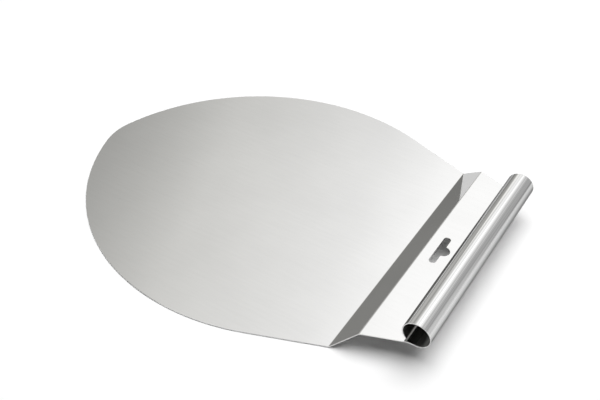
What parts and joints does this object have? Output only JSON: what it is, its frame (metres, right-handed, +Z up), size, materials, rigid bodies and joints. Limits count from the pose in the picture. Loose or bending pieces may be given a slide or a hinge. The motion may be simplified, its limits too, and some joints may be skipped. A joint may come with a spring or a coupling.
{
  "type": "cake plate",
  "caption": "Round-nosed flat cake lifter in polished steel sheet, with a raised deck, a T-shaped hang slot and a handle rolled from the sheet's end.",
  "frame": {"origin": "bottom centre of the bounding box, on the plate's underside", "axes": "+X from the plate's nose towards the handle, +Y across, +Z up"},
  "size_m": [0.3738, 0.3, 0.0391],
  "materials": {
    "polished_steel": "mirror polished stainless steel sheet with a very fine grain"
  },
  "bodies": {
    "root": {"cake_plate": "polished_steel", "riser_step": "polished_steel", "handle_deck": "polished_steel", "rolled_handle": "polished_steel"}
  },
  "joints": []
}
